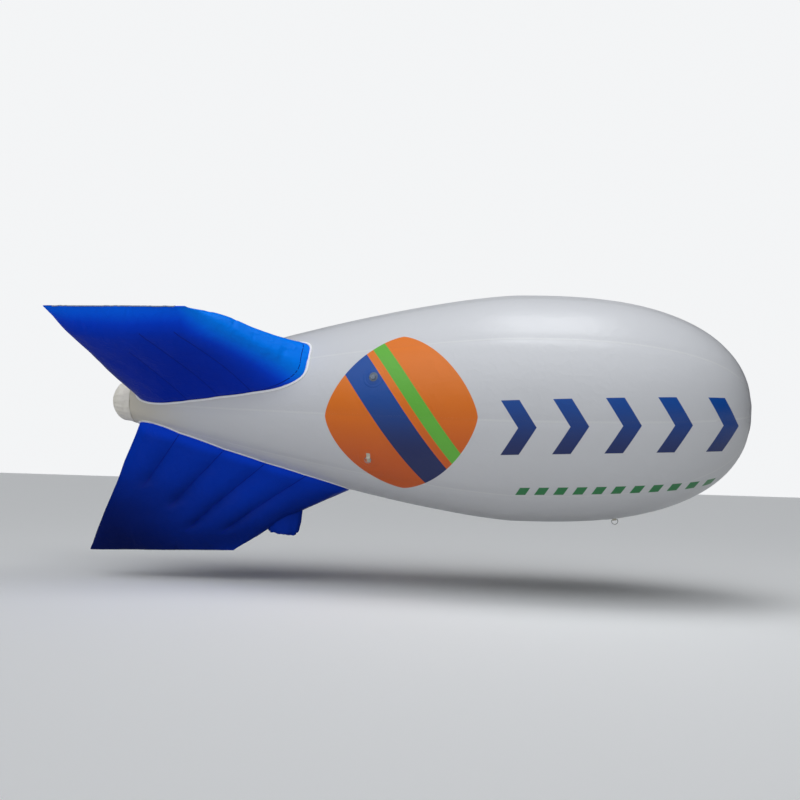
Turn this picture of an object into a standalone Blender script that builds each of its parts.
"""Advertising blimp balloon: a welded hull of nine gores, three inflated tail fins, a gas valve and tether rings.

Units are metres. +X runs forward along the hull's axis and +Z is up. The origin is on the axis at the
widest station. A bearing is an angle about +X, from +Z towards -Y, so 90 degrees looks to the side at -Y.
"""

import math

import bmesh
import bpy
from mathutils import Matrix, Vector

# Hull, as a body of revolution. The tail ring is where the gores end and the tail cap begins.
WIDEST_RADIUS = 1.04
TAIL_LENGTH = 3.785
NOSE_LENGTH = 2.065
TAIL_RING_RADIUS = 0.187
TAIL_TAPER = 1.408
NOSE_FULLNESS = 2.608
NOSE_ROUNDING = 2.314
NOSE_DISC_RADIUS = 0.15
TAIL_CAP_LENGTH = 0.15

# Fabric. Every skin is drawn 10 mm thick, and neighbours keep a seam gap.
SKIN = 0.010
SEAM_GAP = 0.0003
GORES = 9
FACETS_PER_GORE = 5
GORE_ANGLE = 2 * math.pi / GORES
HULL_FACETS = GORES * FACETS_PER_GORE
# What lies on the hull clears it by the seam gap and by how far each gore stands out for its seams.
GORE_SHIFT = SEAM_GAP / (2 * math.sin(GORE_ANGLE / 2))
ON_HULL = GORE_SHIFT + SEAM_GAP

# Fins, drawn pointing up +Z. Each corner is (X, distance from the hull's axis).
# Fin, bearing in degrees, root leading, tip leading, tip trailing and root trailing corner.
FINS = (
    ("fin_upper_right", 60, (-1.84, 0.73), (-2.70, 1.436), (-4.04, 1.436), (-3.61, 0.24)),
    ("fin_upper_left", -60, (-1.84, 0.73), (-2.70, 1.436), (-4.04, 1.436), (-3.61, 0.24)),
    ("fin_lower", 180, (-1.55, 0.80), (-2.66, 1.417), (-4.11, 1.464), (-3.64, 0.23)),
)
FIN_HALF_THICKNESS_ROOT = 0.235
FIN_HALF_THICKNESS_OUTER = 0.15
FIN_HEM_HALF_THICKNESS = 0.008
FIN_SQUARENESS_ROOT = 4.0
FIN_SQUARENESS_TIP = 2.6
FIN_EDGE_STRIP = 0.15
FIN_TIP_STRIP = 0.12
FIN_INNER_END = 0.10
FIN_TIP_TAPER = 0.28
FIN_TAPER_POWER = 1.6
# How much longer a wall is than it is thick, cut level where the tip tapers.
FIN_TAPER_SLANT = 1.35
# Stations up the fin, as shares of its height, and then as shares of the tip's taper.
FIN_STATIONS = (0.0, 0.3, 0.55)
FIN_TAPER_STATIONS = (0.0, 0.35, 0.60, 0.80, 0.93, 1.0)
# How far the blocks that divide a fin reach past it.
FIN_BLOCK_REACH = 1.5

# Gas valve, on the side at -Y.
VALVE_X = -1.20
VALVE_BEARING = math.radians(80)
VALVE_PATCH_RADIUS = 0.095
VALVE_FLANGE_RADIUS = 0.040
VALVE_NECK_RADIUS = 0.024
VALVE_THROAT_RADIUS = 0.015
VALVE_FLANGE = 0.004
VALVE_HEIGHT = 0.014
VALVE_CAP_RADIUS = 0.0235
VALVE_CAP_THICKNESS = 0.006
VALVE_HINGE_X = -0.0285
VALVE_HINGE_HEIGHT = 0.0173
VALVE_PIN_RADIUS = 0.0012
VALVE_PIN_CLEARANCE = 0.0001
VALVE_TONGUE_HALF_WIDTH = 0.004
VALVE_TONGUE_HALF_HEIGHT = 0.003
VALVE_EAR_INNER = 0.0045
VALVE_EAR_OUTER = 0.0070

# Tether points: a welded patch with a webbing tunnel, and a D-ring in the tunnel.
PATCH_RADIUS = 0.10
PATCH_THICKNESS = 0.003
TUNNEL_LENGTH = 0.038
TUNNEL_WIDTH = 0.028
TUNNEL_FLATNESS = 0.65
TUNNEL_SINK = 0.0015
TUNNEL_BORE = 0.0036
RING_WIRE = 0.003
RING_WIDTH = 0.056
RING_DEPTH = 0.046
RING_CORNER = 0.006
RING_AXIS_HEIGHT = 0.0085

# Inflation sleeve, closed and rolled, on the lower fin's leading edge.
SLEEVE_X = -2.155
SLEEVE_INNER_RADIUS = 0.95
SLEEVE_OUTER_RADIUS = 1.245
SLEEVE_TILT = math.radians(-4)
SLEEVE_HALF_WIDTH = 0.165
SLEEVE_HALF_THICKNESS = 0.07
SLEEVE_BLUNTNESS = 0.4

FIRST_SEAM = math.radians(60)
# Name, X, bearing in degrees.
TETHER_POINTS = (
    ("aft_right", -1.25, 126.0),
    ("aft_left", -1.25, -126.0),
    ("fore_keel", 0.90, 180.0),
)


def collection(name, hidden=False):
    made = bpy.data.collections.new(name)
    bpy.context.scene.collection.children.link(made)
    made.hide_render = hidden
    return made


def material(name, colour, roughness, metallic=0.0):
    made = bpy.data.materials.new(name)
    made.use_nodes = True
    shader = made.node_tree.nodes["Principled BSDF"]
    shader.inputs["Base Color"].default_value = (*colour, 1.0)
    shader.inputs["Roughness"].default_value = roughness
    shader.inputs["Metallic"].default_value = metallic
    made.diffuse_color = (*colour, 1.0)
    return made


def add_part(name, mesh, finish):
    part = bpy.data.objects.new(name, mesh)
    parts.objects.link(part)
    if finish.name not in mesh.materials:
        mesh.materials.append(finish)
    return part


def add_cutter(name, mesh):
    cutter = bpy.data.objects.new(name, mesh)
    cutters.objects.link(cutter)
    cutter.hide_render = True
    cutter.display_type = "WIRE"
    return cutter


def mesh_of(name, shape):
    """A mesh made from a bmesh, with its faces turned outwards."""
    bmesh.ops.recalc_face_normals(shape, faces=shape.faces)
    mesh = bpy.data.meshes.new(name)
    shape.to_mesh(mesh)
    shape.free()
    return mesh


def cut(part, cutter, operation="DIFFERENCE"):
    change = part.modifiers.new(cutter.name, "BOOLEAN")
    change.object = cutter
    change.operation = operation


def evaluated_mesh(part, name):
    """The part's mesh with its modifiers carried out."""
    bpy.context.view_layer.update()
    graph = bpy.context.evaluated_depsgraph_get()
    mesh = bpy.data.meshes.new_from_object(part.evaluated_get(graph))
    mesh.name = name
    return mesh


def turned(name, profile, steps=HULL_FACETS):
    """A mesh turned about X from (x, radius) points."""
    line = bpy.data.meshes.new(name)
    points = [(x, 0.0, radius) for x, radius in profile]
    line.from_pydata(points, [(i, i + 1) for i in range(len(points) - 1)], [])
    turning = bpy.data.objects.new(name, line)
    cutters.objects.link(turning)
    screw = turning.modifiers.new("Turn", "SCREW")
    screw.axis = "X"
    screw.steps = screw.render_steps = steps
    screw.use_merge_vertices = True
    screw.merge_threshold = 0.0001
    mesh = evaluated_mesh(turning, name)
    bpy.data.objects.remove(turning)
    bpy.data.meshes.remove(line)
    shape = bmesh.new()
    shape.from_mesh(mesh)
    bpy.data.meshes.remove(mesh)
    return mesh_of(name, shape)


def lofted(name, rings):
    """A closed mesh through rings of points, each ring with the same count."""
    shape = bmesh.new()
    loops = [[shape.verts.new(point) for point in ring] for ring in rings]
    count = len(loops[0])
    for low, high in zip(loops, loops[1:]):
        for i in range(count):
            after = (i + 1) % count
            shape.faces.new((low[i], low[after], high[after], high[i]))
    shape.faces.new(loops[0])
    shape.faces.new(loops[-1])
    return mesh_of(name, shape)


def prism(name, outline, low, high):
    """A flat outline of (X, Z) points, drawn out along Y from low to high."""
    return lofted(name, [[(x, y, z) for x, z in outline] for y in (low, high)])


def hull_radius(x):
    if x < 0:
        return WIDEST_RADIUS - (WIDEST_RADIUS - TAIL_RING_RADIUS) * (-x / TAIL_LENGTH) ** TAIL_TAPER
    return WIDEST_RADIUS * (1 - (x / NOSE_LENGTH) ** NOSE_FULLNESS) ** (1 / NOSE_ROUNDING)


def nose_x(radius):
    """Where the nose narrows to a radius."""
    return NOSE_LENGTH * (1 - (radius / WIDEST_RADIUS) ** NOSE_ROUNDING) ** (1 / NOSE_FULLNESS)


def gore_line():
    """(x, radius) points along the hull from the tail ring to the nose disc."""
    aft_stations = 10
    nose_stations = 9
    aft = [-TAIL_LENGTH * (1 - i / aft_stations) for i in range(aft_stations)]
    line = [(x, hull_radius(x)) for x in aft]
    last = math.acos(NOSE_DISC_RADIUS / WIDEST_RADIUS)
    for i in range(nose_stations + 1):
        radius = WIDEST_RADIUS * math.cos(last * i / nose_stations)
        line.append((nose_x(radius), radius))
    return line


def offset_line(line, distance):
    """The line moved along its own normals, outwards where distance is positive."""
    moved = []
    for i, (x, radius) in enumerate(line):
        before = Vector(line[max(i - 1, 0)])
        after = Vector(line[min(i + 1, len(line) - 1)])
        along = (after - before).normalized()
        moved.append((x - along.y * distance, radius + along.x * distance))
    return moved


def tail_cap_line(radius, depth):
    """(x, radius) points round the tail cap, from the tail ring to the axis."""
    steps = 5
    turns = [math.pi / 2 * i / steps for i in range(steps)]
    line = [(-TAIL_LENGTH - depth * math.sin(t), radius * math.cos(t)) for t in turns]
    return line + [(-TAIL_LENGTH - depth, 0.0)]


def hull_envelope(name, offset):
    """A closed solid of the whole hull, standing out from its skin by offset."""
    cap = tail_cap_line(TAIL_RING_RADIUS + offset, TAIL_CAP_LENGTH + offset)
    skin = offset_line(gore_line(), offset)
    nose = [(NOSE_LENGTH + offset, 0.0)]
    return turned(name, cap[::-1][:-1] + skin + nose)


def skin_at(x):
    """Radius and slope of the hull's drawn skin, which is straight from station to station."""
    line = gore_line()
    for (x_aft, radius_aft), (x_fore, radius_fore) in zip(line, line[1:]):
        if x <= x_fore:
            break
    slope = (radius_fore - radius_aft) / (x_fore - x_aft)
    return radius_aft + slope * (x - x_aft), slope


def hull_place(x, bearing):
    """A frame on the hull's skin: its Z points out of the skin, its X forward along it."""
    radius, slope = skin_at(x)
    facet = GORE_ANGLE / FACETS_PER_GORE
    from_middle = (bearing - FIRST_SEAM) % facet - facet / 2
    radius *= math.cos(facet / 2) / math.cos(from_middle)
    radial = Vector((0, -math.sin(bearing), math.cos(bearing)))
    forward = (Vector((1, 0, 0)) + slope * radial).normalized()
    across = radial.cross(Vector((1, 0, 0)))
    out = forward.cross(across)
    seat = Vector((x, 0, 0)) + radius * radial
    return Matrix.Translation(seat) @ Matrix((forward, across, out)).transposed().to_4x4()


# Hull pieces


def make_gores():
    line = gore_line()
    inside = offset_line(line, -SKIN)
    inside[0] = (line[0][0], line[0][1] - SKIN)
    inside[-1] = (line[-1][0] - SKIN, line[-1][1])
    section = line + inside[::-1]
    shape = bmesh.new()
    face = shape.faces.new([shape.verts.new((x, 0.0, radius)) for x, radius in section])
    everything = [face, *face.edges, *face.verts]
    bmesh.ops.spin(
        shape,
        geom=everything,
        cent=(0, 0, 0),
        axis=(1, 0, 0),
        dvec=(0, 0, 0),
        angle=GORE_ANGLE,
        steps=FACETS_PER_GORE,
    )
    gore = mesh_of("gore", shape)
    middle = GORE_ANGLE / 2
    for i in range(GORES):
        bearing = FIRST_SEAM + (i + 0.5) * GORE_ANGLE
        part = add_part(f"gore_{i + 1}", gore, white_fabric)
        part.rotation_euler = (bearing - middle, 0, 0)
        part.location = (0, -GORE_SHIFT * math.sin(bearing), GORE_SHIFT * math.cos(bearing))


def make_nose_disc():
    rim = NOSE_DISC_RADIUS - SEAM_GAP
    steps = 4
    radii = [rim * i / steps for i in range(steps + 1)]
    outer = [(nose_x(radius), radius) for radius in radii]
    inner = [(x - SKIN, radius) for x, radius in outer]
    add_part("nose_disc", turned("nose_disc", outer + inner[::-1]), white_fabric)


def make_tail_cap():
    outer = tail_cap_line(TAIL_RING_RADIUS, TAIL_CAP_LENGTH)
    inner = tail_cap_line(TAIL_RING_RADIUS - SKIN, TAIL_CAP_LENGTH - SKIN)
    cap = add_part("tail_cap", turned("tail_cap", outer[::-1] + inner), cream_fabric)
    cap.location.x = -SEAM_GAP


# Fins


def edge_point(low_corner, high_corner, share):
    """A fin edge's point, from the fin's inner end at share 0 to its tip at share 1."""
    run = (low_corner[0] - high_corner[0]) / (high_corner[1] - low_corner[1])
    inner = Vector((high_corner[0] + run * (high_corner[1] - FIN_INNER_END), FIN_INNER_END))
    return inner.lerp(Vector(high_corner), share)


def edge_slant(low_corner, high_corner):
    """How much longer a wall is than it is thick, cut level through a slanting edge."""
    return math.dist(low_corner, high_corner) / (high_corner[1] - low_corner[1])


def fin_half_thickness(share, taper_starts):
    outer = FIN_HALF_THICKNESS_OUTER
    if share < taper_starts:
        return outer + (FIN_HALF_THICKNESS_ROOT - outer) * (1 - share / taper_starts)
    into_taper = (share - taper_starts) / (1 - taper_starts)
    return max(outer * (1 - into_taper**FIN_TAPER_POWER), FIN_HEM_HALF_THICKNESS)


def fin_ring(leading, trailing, half_thickness, squareness):
    """A rounded oblong across the fin, from its trailing to its leading edge."""
    points = 28
    power = 2 / squareness
    ring = []
    for i in range(points):
        turn = 2 * math.pi * (i + 0.5) / points
        along = math.copysign(abs(math.cos(turn)) ** power, math.cos(turn))
        out = math.copysign(abs(math.sin(turn)) ** power, math.sin(turn))
        x, height = trailing.lerp(leading, (1 + along) / 2)
        ring.append((x, half_thickness * out, height))
    return ring


def fin_body(name, corners, inset):
    """The inflated fin as a closed solid, with its skin moved inwards by inset.

    With an inset it stops short of the tip, so the hem there stays solid, and starts
    further in, so it opens the fin's inner end.
    """
    root_leading, tip_leading, tip_trailing, root_trailing = corners
    taper_starts = 1 - FIN_TIP_TAPER / (tip_leading[1] - FIN_INNER_END)
    shares = list(FIN_STATIONS)
    shares += [taper_starts + (1 - taper_starts) * share for share in FIN_TAPER_STATIONS]
    if inset > 0:
        shares = [-0.03] + shares[1:-1]
    ahead = Vector((-inset * edge_slant(root_leading, tip_leading), 0))
    behind = Vector((inset * edge_slant(root_trailing, tip_trailing), 0))
    rings = []
    for share in shares:
        leading = edge_point(root_leading, tip_leading, share) + ahead
        trailing = edge_point(root_trailing, tip_trailing, share) + behind
        wall = inset * (FIN_TAPER_SLANT if share > taper_starts else 1)
        half = fin_half_thickness(share, taper_starts) - wall
        squareness = FIN_SQUARENESS_ROOT + (FIN_SQUARENESS_TIP - FIN_SQUARENESS_ROOT) * share
        rings.append(fin_ring(leading, trailing, half, squareness))
    return lofted(name, rings)


def fin_blocks(fin, corners):
    """Blocks that share the fin's shell out into its welded panels."""
    root_leading, tip_leading, tip_trailing, root_trailing = corners
    below = -0.1
    tip_seam = 1 - FIN_TIP_STRIP / (tip_leading[1] - FIN_INNER_END)
    strip = Vector((FIN_EDGE_STRIP, 0))
    lead_low = edge_point(root_leading, tip_leading, below) - strip
    lead_high = edge_point(root_leading, tip_leading, tip_seam) - strip
    trail_low = edge_point(root_trailing, tip_trailing, below) + strip
    trail_high = edge_point(root_trailing, tip_trailing, tip_seam) + strip
    along_seam = (lead_high - trail_high).normalized() * FIN_BLOCK_REACH
    ahead = lead_high + along_seam
    behind = trail_high - along_seam
    reach = Vector((FIN_BLOCK_REACH, 0))
    gap = Vector((SEAM_GAP, 0))
    lift = Vector((0, SEAM_GAP))
    top = Vector((0, FIN_BLOCK_REACH))
    side = (trail_low, lead_low, lead_high, trail_high)
    leading = (lead_low + gap, lead_low + reach, ahead, lead_high + gap)
    trailing = (trail_low - reach, trail_low - gap, trail_high - gap, behind)
    tip = (behind + lift, ahead + lift, ahead + top, behind + top)
    # Panel, outline, lowest Y, highest Y.
    blocks = (
        ("side_1", side, -FIN_BLOCK_REACH, -SEAM_GAP / 2),
        ("side_2", side, SEAM_GAP / 2, FIN_BLOCK_REACH),
        ("leading_edge", leading, -FIN_BLOCK_REACH, FIN_BLOCK_REACH),
        ("trailing_edge", trailing, -FIN_BLOCK_REACH, FIN_BLOCK_REACH),
        ("tip", tip, -FIN_BLOCK_REACH, FIN_BLOCK_REACH),
    )
    return {
        panel: add_cutter(f"{fin}_{panel}_block", prism(f"{fin}_{panel}_block", outline, low, high))
        for panel, outline, low, high in blocks
    }


def make_fin(fin, bearing, corners):
    shell = add_cutter(f"{fin}_shell", fin_body(f"{fin}_outside", corners, 0.0))
    cut(shell, add_cutter(f"{fin}_inside", fin_body(f"{fin}_inside", corners, SKIN)))
    cut(shell, clear_hull)
    shell_mesh = evaluated_mesh(shell, f"{fin}_shell")
    for panel, block in fin_blocks(fin, corners).items():
        piece = add_cutter(f"{fin}_{panel}_piece", shell_mesh)
        cut(piece, block, "INTERSECT")
        part = add_part(f"{fin}_{panel}", evaluated_mesh(piece, f"{fin}_{panel}"), blue_fabric)
        part.rotation_euler.x = bearing


def make_inflation_sleeve():
    """A flattened blunt tube, drawn pointing up +Z like the fin that it stands on."""
    steps = 5
    closed_at = math.radians(86)
    around = [2 * math.pi * i / 20 for i in range(20)]
    length = SLEEVE_OUTER_RADIUS - SLEEVE_INNER_RADIUS
    rings = []
    for i in range(steps + 1):
        turn = closed_at * i / steps
        shrink = math.cos(turn) ** SLEEVE_BLUNTNESS
        width = SLEEVE_HALF_WIDTH * shrink
        thickness = SLEEVE_HALF_THICKNESS * shrink
        height = length * math.sin(turn)
        rings.append([(width * math.cos(a), thickness * math.sin(a), height) for a in around])
    sleeve = add_part("inflation_sleeve", lofted("inflation_sleeve", rings), blue_fabric)
    seat = Matrix.Translation((SLEEVE_X, 0, SLEEVE_INNER_RADIUS)) @ Matrix.Rotation(SLEEVE_TILT, 4, "Y")
    lower_fin, bearing_degrees, *corners = FINS[-1]
    bearing = math.radians(bearing_degrees)
    sleeve.matrix_world = Matrix.Rotation(bearing, 4, "X") @ seat
    fin_clear = add_cutter("fin_clear", fin_body(f"{lower_fin}_clear", corners, -SEAM_GAP))
    fin_clear.rotation_euler.x = bearing
    cut(sleeve, fin_clear)


# Fittings on the hull


def cylinder(radius, low, high, segments):
    shape = bmesh.new()
    bmesh.ops.create_cone(
        shape,
        cap_ends=True,
        segments=segments,
        radius1=radius,
        radius2=radius,
        depth=high - low,
        matrix=Matrix.Translation((0, 0, (low + high) / 2)),
    )
    return shape


def patch(name, x, bearing, radius, finish):
    """A round patch that follows the hull's skin."""
    depth = 0.08
    disc = add_part(name, mesh_of(name, cylinder(radius, -depth, depth, 32)), finish)
    disc.matrix_world = hull_place(x, bearing)
    cut(disc, patch_outside, "INTERSECT")
    cut(disc, clear_hull_turned)
    return disc


def box(low, high):
    """A block between two corners."""
    shape = bmesh.new()
    bmesh.ops.create_cube(shape, size=1.0)
    middle = [(a + b) / 2 for a, b in zip(low, high)]
    bmesh.ops.scale(shape, verts=shape.verts, vec=[b - a for a, b in zip(low, high)])
    bmesh.ops.translate(shape, verts=shape.verts, vec=middle)
    return shape


def hinge_pin(radius, half_length):
    """A rod along Y at the cap's hinge."""
    rod = cylinder(radius, -half_length, half_length, 12)
    bmesh.ops.rotate(rod, verts=rod.verts, matrix=Matrix.Rotation(math.pi / 2, 3, "X"))
    bmesh.ops.translate(rod, verts=rod.verts, vec=(VALVE_HINGE_X, 0, VALVE_HINGE_HEIGHT))
    return rod


def make_valve():
    """The valve in its own frame: Z out of the hull, with the cap's hinge on its rear side."""
    valve_patch = patch("valve_patch", VALVE_X, VALVE_BEARING, VALVE_PATCH_RADIUS, white_fabric)
    base = ON_HULL + PATCH_THICKNESS + SEAM_GAP
    place = hull_place(VALVE_X, VALVE_BEARING) @ Matrix.Translation((0, 0, base))
    throat = add_cutter("throat", mesh_of("throat", cylinder(VALVE_THROAT_RADIUS, -0.05, 0.05, 32)))
    throat.matrix_world = place
    cut(valve_patch, throat)
    cut(parts.objects["gore_1"], throat)

    profile = [
        (0.0, VALVE_THROAT_RADIUS),
        (0.0, VALVE_FLANGE_RADIUS),
        (VALVE_FLANGE, VALVE_FLANGE_RADIUS),
        (VALVE_FLANGE, VALVE_NECK_RADIUS),
        (VALVE_HEIGHT, VALVE_NECK_RADIUS),
        (VALVE_HEIGHT, VALVE_THROAT_RADIUS),
        (0.0, VALVE_THROAT_RADIUS),
    ]
    body_mesh = turned("valve_body", profile, 32)
    body_mesh.transform(Matrix.Rotation(math.radians(-90), 4, "Y"))
    body = add_part("valve_body", body_mesh, grey_plastic)
    body.matrix_world = place
    reach = VALVE_TONGUE_HALF_HEIGHT
    for side in (-1, 1):
        inner, outer = sorted((side * VALVE_EAR_INNER, side * VALVE_EAR_OUTER))
        low = (VALVE_HINGE_X - reach, inner, VALVE_FLANGE / 2)
        high = (VALVE_HINGE_X + reach, outer, VALVE_HINGE_HEIGHT + reach)
        ear = add_cutter(f"ear_{side}", mesh_of("ear", box(low, high)))
        ear.matrix_world = place
        cut(body, ear, "UNION")
    pin_length = (VALVE_EAR_INNER + VALVE_EAR_OUTER) / 2
    pin = add_cutter("hinge_pin", mesh_of("hinge_pin", hinge_pin(VALVE_PIN_RADIUS, pin_length)))
    pin.matrix_world = place
    cut(body, pin, "UNION")

    low = VALVE_HEIGHT + SEAM_GAP
    lid = cylinder(VALVE_CAP_RADIUS, low, low + VALVE_CAP_THICKNESS, 32)
    cap = add_part("valve_cap", mesh_of("valve_cap", lid), grey_plastic)
    cap.matrix_world = place
    half = VALVE_TONGUE_HALF_WIDTH
    tongue_box = box((VALVE_HINGE_X, -half, low), (-VALVE_NECK_RADIUS / 2, half, low + VALVE_CAP_THICKNESS))
    knuckle_shape = hinge_pin(VALVE_TONGUE_HALF_HEIGHT, half)
    bore_shape = hinge_pin(VALVE_PIN_RADIUS + VALVE_PIN_CLEARANCE, 2 * half)
    # What shapes the cap's tongue, and whether it is joined or cut away.
    for name, shape, operation in (
        ("tongue", tongue_box, "UNION"),
        ("knuckle", knuckle_shape, "UNION"),
        ("knuckle_bore", bore_shape, "DIFFERENCE"),
    ):
        cutter = add_cutter(name, mesh_of(name, shape))
        cutter.matrix_world = place
        cut(cap, cutter, operation)


def ring_frame(x, bearing):
    """A frame on a tether ring's hinge: X along the bar, Z up against the hanging bow."""
    place = hull_place(x, bearing)
    hinge = place @ Matrix.Translation((0, 0, ON_HULL + PATCH_THICKNESS + RING_AXIS_HEIGHT))
    bar = place.to_3x3() @ Vector((1, 0, 0))
    up = (Vector((0, 0, 1)) - bar * bar.z).normalized()
    across = up.cross(bar)
    turned_frame = Matrix((bar, across, up)).transposed().to_4x4()
    return Matrix.Translation(hinge.to_translation()) @ turned_frame


def make_tether_point(name, x, bearing):
    tether_patch = patch(f"tether_patch_{name}", x, bearing, PATCH_RADIUS, white_fabric)
    place = hull_place(x, bearing)
    height = ON_HULL + PATCH_THICKNESS + RING_AXIS_HEIGHT
    block = cylinder(TUNNEL_WIDTH / 2, -TUNNEL_LENGTH / 2, TUNNEL_LENGTH / 2, 16)
    bmesh.ops.rotate(block, verts=block.verts, matrix=Matrix.Rotation(math.pi / 2, 3, "Y"))
    bmesh.ops.scale(block, verts=block.verts, vec=(1, 1, TUNNEL_FLATNESS))
    tunnel = add_cutter(f"tunnel_{name}", mesh_of("tunnel", block))
    tunnel.matrix_world = place @ Matrix.Translation((0, 0, height - TUNNEL_SINK))
    bore = cylinder(TUNNEL_BORE, -TUNNEL_LENGTH, TUNNEL_LENGTH, 16)
    bmesh.ops.rotate(bore, verts=bore.verts, matrix=Matrix.Rotation(math.pi / 2, 3, "Y"))
    tunnel_bore = add_cutter(f"bore_{name}", mesh_of("bore", bore))
    tunnel_bore.matrix_world = place @ Matrix.Translation((0, 0, height))
    cut(tether_patch, tunnel, "UNION")
    cut(tether_patch, tunnel_bore)
    make_ring(f"tether_ring_{name}", ring_frame(x, bearing))


def make_ring(name, frame):
    """A D-ring of round wire: a straight bar with the bow hanging from its ends."""
    half = RING_WIDTH / 2
    corner = RING_CORNER
    arc_height = corner - RING_DEPTH + half
    bow = [(half, -corner), (half, arc_height)]
    steps = 9
    for i in range(1, steps):
        turn = math.pi * i / steps
        bow.append((half * math.cos(turn), arc_height - half * math.sin(turn)))
    bow += [(-half, arc_height), (-half, -corner), (corner - half, 0.0), (half - corner, 0.0)]
    curve = bpy.data.curves.new(name, "CURVE")
    curve.dimensions = "3D"
    curve.bevel_depth = RING_WIRE
    curve.bevel_resolution = 2
    line = curve.splines.new("POLY")
    line.points.add(len(bow) - 1)
    flat_side_down = math.radians(22.5)
    for point, (x, z) in zip(line.points, bow):
        point.co = (x, 0, z, 1)
        point.tilt = flat_side_down
    line.use_cyclic_u = True
    ring = bpy.data.objects.new(name, curve)
    parts.objects.link(ring)
    curve.materials.append(steel)
    ring.matrix_world = frame


for old in list(bpy.data.objects):
    bpy.data.objects.remove(old)

parts = collection("Advertising blimp balloon")
cutters = collection("Cutters", hidden=True)

white_fabric = material("White fabric", (0.62, 0.62, 0.64), 0.35)
cream_fabric = material("Cream fabric", (0.62, 0.58, 0.48), 0.5)
blue_fabric = material("Blue fabric", (0.01, 0.06, 0.45), 0.35)
grey_plastic = material("Grey plastic", (0.30, 0.31, 0.33), 0.45)
steel = material("Steel", (0.6, 0.6, 0.6), 0.25, 1.0)

clear_hull = add_cutter("clear_hull", hull_envelope("clear_hull", ON_HULL))
clear_hull_turned = add_cutter("clear_hull_turned", clear_hull.data)
patch_outside = add_cutter("patch_outside", hull_envelope("patch_outside", ON_HULL + PATCH_THICKNESS))
for envelope in (clear_hull_turned, patch_outside):
    envelope.rotation_euler.x = FIRST_SEAM

make_gores()
make_nose_disc()
make_tail_cap()
for fin_name, fin_bearing, *fin_corners in FINS:
    make_fin(fin_name, math.radians(fin_bearing), fin_corners)
make_inflation_sleeve()
make_valve()
for tether_point, station, bearing_degrees in TETHER_POINTS:
    make_tether_point(tether_point, station, math.radians(bearing_degrees))
